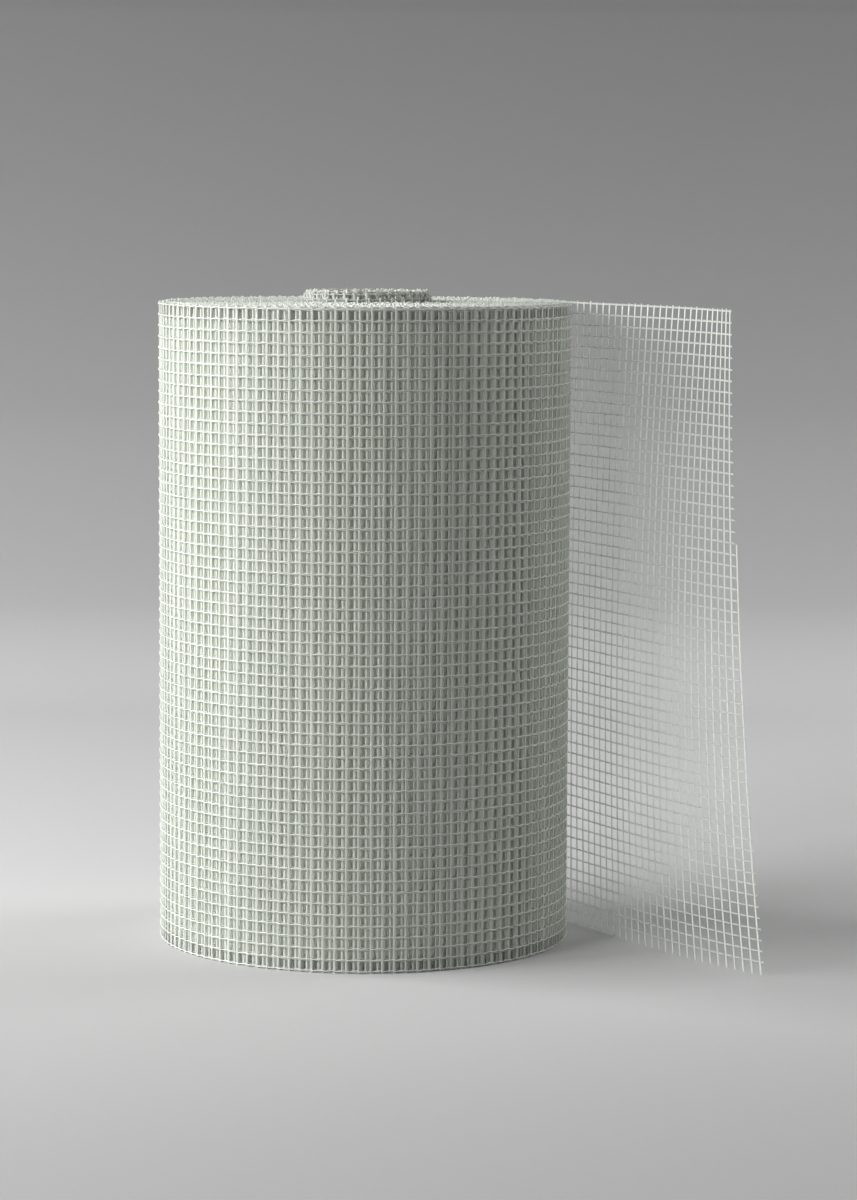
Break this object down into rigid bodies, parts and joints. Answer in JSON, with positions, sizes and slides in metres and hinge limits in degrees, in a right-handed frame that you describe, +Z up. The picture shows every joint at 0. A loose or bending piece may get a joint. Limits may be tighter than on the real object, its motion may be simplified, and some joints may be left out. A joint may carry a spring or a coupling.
{
  "type": "roll of fiberglass mesh",
  "caption": "Standing roll of open-weave fiberglass reinforcing mesh with a hollow middle, proud inner turns and a loose outer end.",
  "frame": {"origin": "on the floor plane, under the middle of the bounding box of the roll and its loose end together; the roll's axis is vertical, at x = -0.0410, y = +0.0045", "axes": "+Z up along the roll's axis, towards the proud inner turns; +X to the side where the loose end hangs; -Y towards the viewer of the picture"},
  "size_m": [0.271, 0.198, 0.297],
  "materials": {
    "coated_glass_yarn": "coated glass yarn, near white with a green cast, slightly glossy"
  },
  "bodies": {
    "root": {"mesh_roll": "coated_glass_yarn"}
  },
  "joints": []
}
